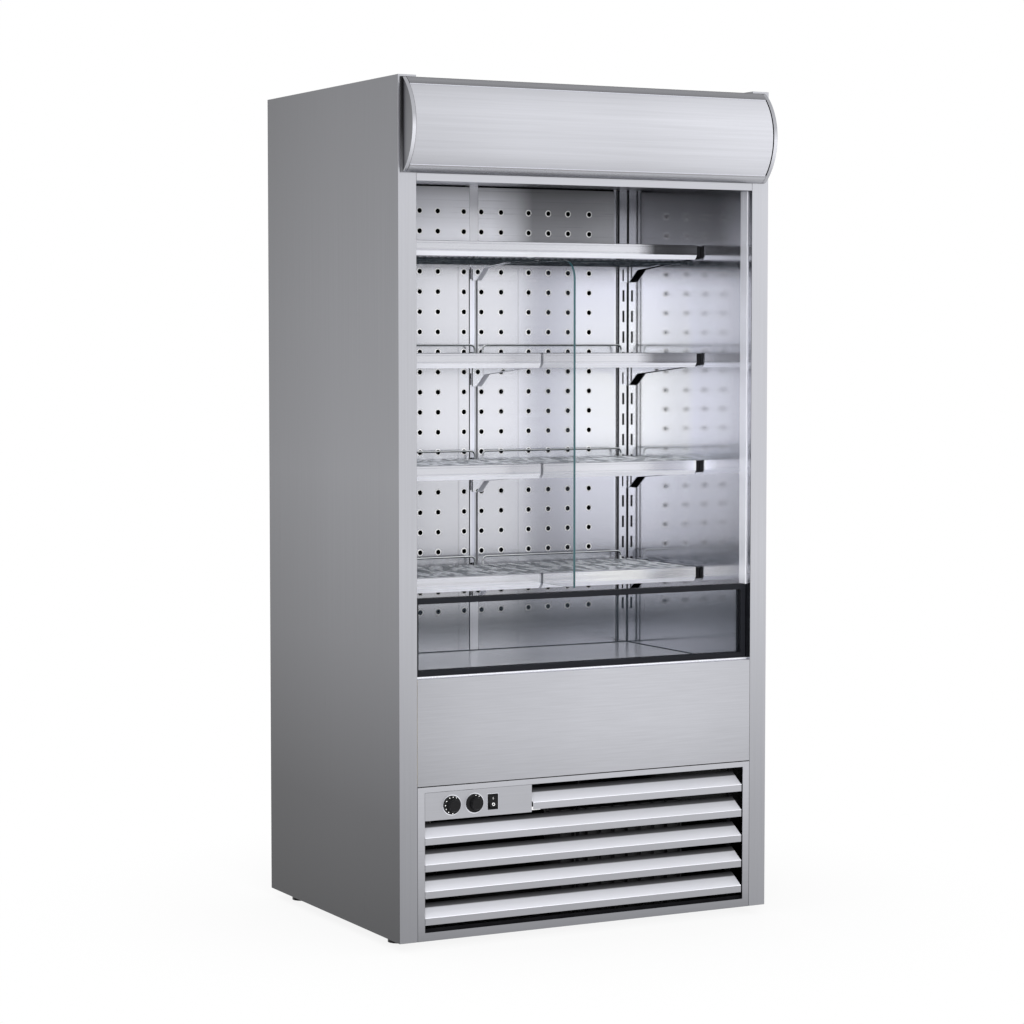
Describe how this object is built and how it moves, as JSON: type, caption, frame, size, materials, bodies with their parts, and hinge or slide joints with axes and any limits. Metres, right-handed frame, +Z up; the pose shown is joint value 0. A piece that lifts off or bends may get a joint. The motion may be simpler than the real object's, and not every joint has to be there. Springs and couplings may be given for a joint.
{
  "type": "open multideck display fridge",
  "caption": "Tall free-standing open display fridge in stainless steel: bowed canopy, wire shelves over a perforated back, glass divider, louvred base with knobs and a rocker switch.",
  "frame": {"origin": "on the floor, under the middle of the outer box", "axes": "+Z up, +Y towards the back, -Y is the open front, +X to the right seen from the front"},
  "size_m": [1, 0.822, 2.022],
  "materials": {
    "front_steel": "satin",
    "side_steel": "satin",
    "bright_steel": "polished",
    "zinc_steel": "satin",
    "anodised_rail": "satin",
    "dark_plate": "matte",
    "black_enamel": "satin",
    "bright_wire": "polished",
    "fin_aluminium": "satin",
    "clear_glass": "polished",
    "foam": "matte",
    "lamp_white": "satin",
    "white_plastic": "matte",
    "black_plastic": "satin",
    "charcoal_frame": "satin",
    "fan_plastic": "matte",
    "foot_black": "matte"
  },
  "bodies": {
    "cabinet": {"side_skin_left": "side_steel", "side_skin_right": "side_steel", "side_liners": "bright_steel", "insulation": "foam", "inner_liner": "bright_steel", "rear_skin": "zinc_steel", "rear_vent_cover": "zinc_steel", "roof_skin": "front_steel", "base_tray": "zinc_steel", "ceiling_panel": "bright_steel", "air_outlet": "white_plastic", "uprights": "bright_steel", "back_panels": "bright_steel", "deck_plates": "bright_steel", "return_grille": "bright_steel", "canopy_panel": "front_steel", "canopy_rails": "anodised_rail", "canopy_caps": "anodised_rail", "canopy_back_plate": "dark_plate", "header_rail": "front_steel", "lamp": "lamp_white", "glass_divider": "clear_glass", "divider_channel": "anodised_rail", "riser_frame": "charcoal_frame", "riser_glass": "clear_glass", "opening_trims": "bright_steel", "front_fascia": "front_steel", "grille_frame": "front_steel", "louvre_stays": "dark_plate", "louvre_blades": "front_steel", "control_panel": "front_steel", "control_bodies": "black_plastic", "compressor": "black_enamel", "condenser": "fin_aluminium", "condenser_fan_frame": "black_enamel", "evaporator": "fin_aluminium", "evaporator_fan_frames": "zinc_steel", "drain_pan": "white_plastic", "shelf_rail_1": "front_steel", "shelf_grid_1": "bright_wire", "shelf_brackets_1": "bright_steel", "shelf_rail_2": "front_steel", "shelf_grid_2": "bright_wire", "shelf_brackets_2": "bright_steel", "shelf_rail_3": "front_steel", "shelf_grid_3": "bright_wire", "shelf_brackets_3": "bright_steel", "shelf_rail_4": "front_steel", "shelf_grid_4": "bright_wire", "shelf_brackets_4": "bright_steel"},
    "thermostat_knob": {"thermostat_knob": "black_plastic"},
    "defrost_knob": {"defrost_knob": "black_plastic"},
    "switch_rocker": {"switch_rocker": "black_plastic"},
    "condenser_fan": {"condenser_fan": "fan_plastic"},
    "evaporator_fan_left": {"evaporator_fan_left": "fan_plastic"},
    "evaporator_fan_right": {"evaporator_fan_right": "fan_plastic"},
    "foot_front_left": {"foot_front_left": "foot_black"},
    "foot_front_right": {"foot_front_right": "foot_black"},
    "foot_rear_left": {"foot_rear_left": "foot_black"},
    "foot_rear_right": {"foot_rear_right": "foot_black"}
  },
  "joints": [
    {"name": "thermostat_knob_turn", "type": "hinge", "parent": "cabinet", "child": "thermostat_knob", "pos_m": [-0.365, -0.354, 0.337], "axis": [0, -1, 0], "range_deg": [-135, 135]},
    {"name": "defrost_knob_turn", "type": "hinge", "parent": "cabinet", "child": "defrost_knob", "pos_m": [-0.306, -0.354, 0.337], "axis": [0, -1, 0], "range_deg": [-135, 135]},
    {"name": "switch_tilt", "type": "hinge", "parent": "cabinet", "child": "switch_rocker", "pos_m": [-0.258, -0.352, 0.337], "axis": [1, 0, 0], "range_deg": [0, 18]},
    {"name": "condenser_fan_spin", "type": "hinge", "parent": "cabinet", "child": "condenser_fan", "pos_m": [0.14, -0.184, 0.154], "axis": [0, 1, 0], "continuous": true},
    {"name": "evaporator_fan_left_spin", "type": "hinge", "parent": "cabinet", "child": "evaporator_fan_left", "pos_m": [-0.21, -0.103, 0.52825], "axis": [0, 1, 0], "continuous": true},
    {"name": "evaporator_fan_right_spin", "type": "hinge", "parent": "cabinet", "child": "evaporator_fan_right", "pos_m": [0.21, -0.103, 0.52825], "axis": [0, 1, 0], "continuous": true},
    {"name": "foot_front_left_turn", "type": "hinge", "parent": "cabinet", "child": "foot_front_left", "pos_m": [-0.445, -0.229, 0], "axis": [0, 0, 1], "continuous": true},
    {"name": "foot_front_right_turn", "type": "hinge", "parent": "cabinet", "child": "foot_front_right", "pos_m": [0.445, -0.229, 0], "axis": [0, 0, 1], "continuous": true},
    {"name": "foot_rear_left_turn", "type": "hinge", "parent": "cabinet", "child": "foot_rear_left", "pos_m": [-0.445, 0.341, 0], "axis": [0, 0, 1], "continuous": true},
    {"name": "foot_rear_right_turn", "type": "hinge", "parent": "cabinet", "child": "foot_rear_right", "pos_m": [0.445, 0.341, 0], "axis": [0, 0, 1], "continuous": true}
  ]
}
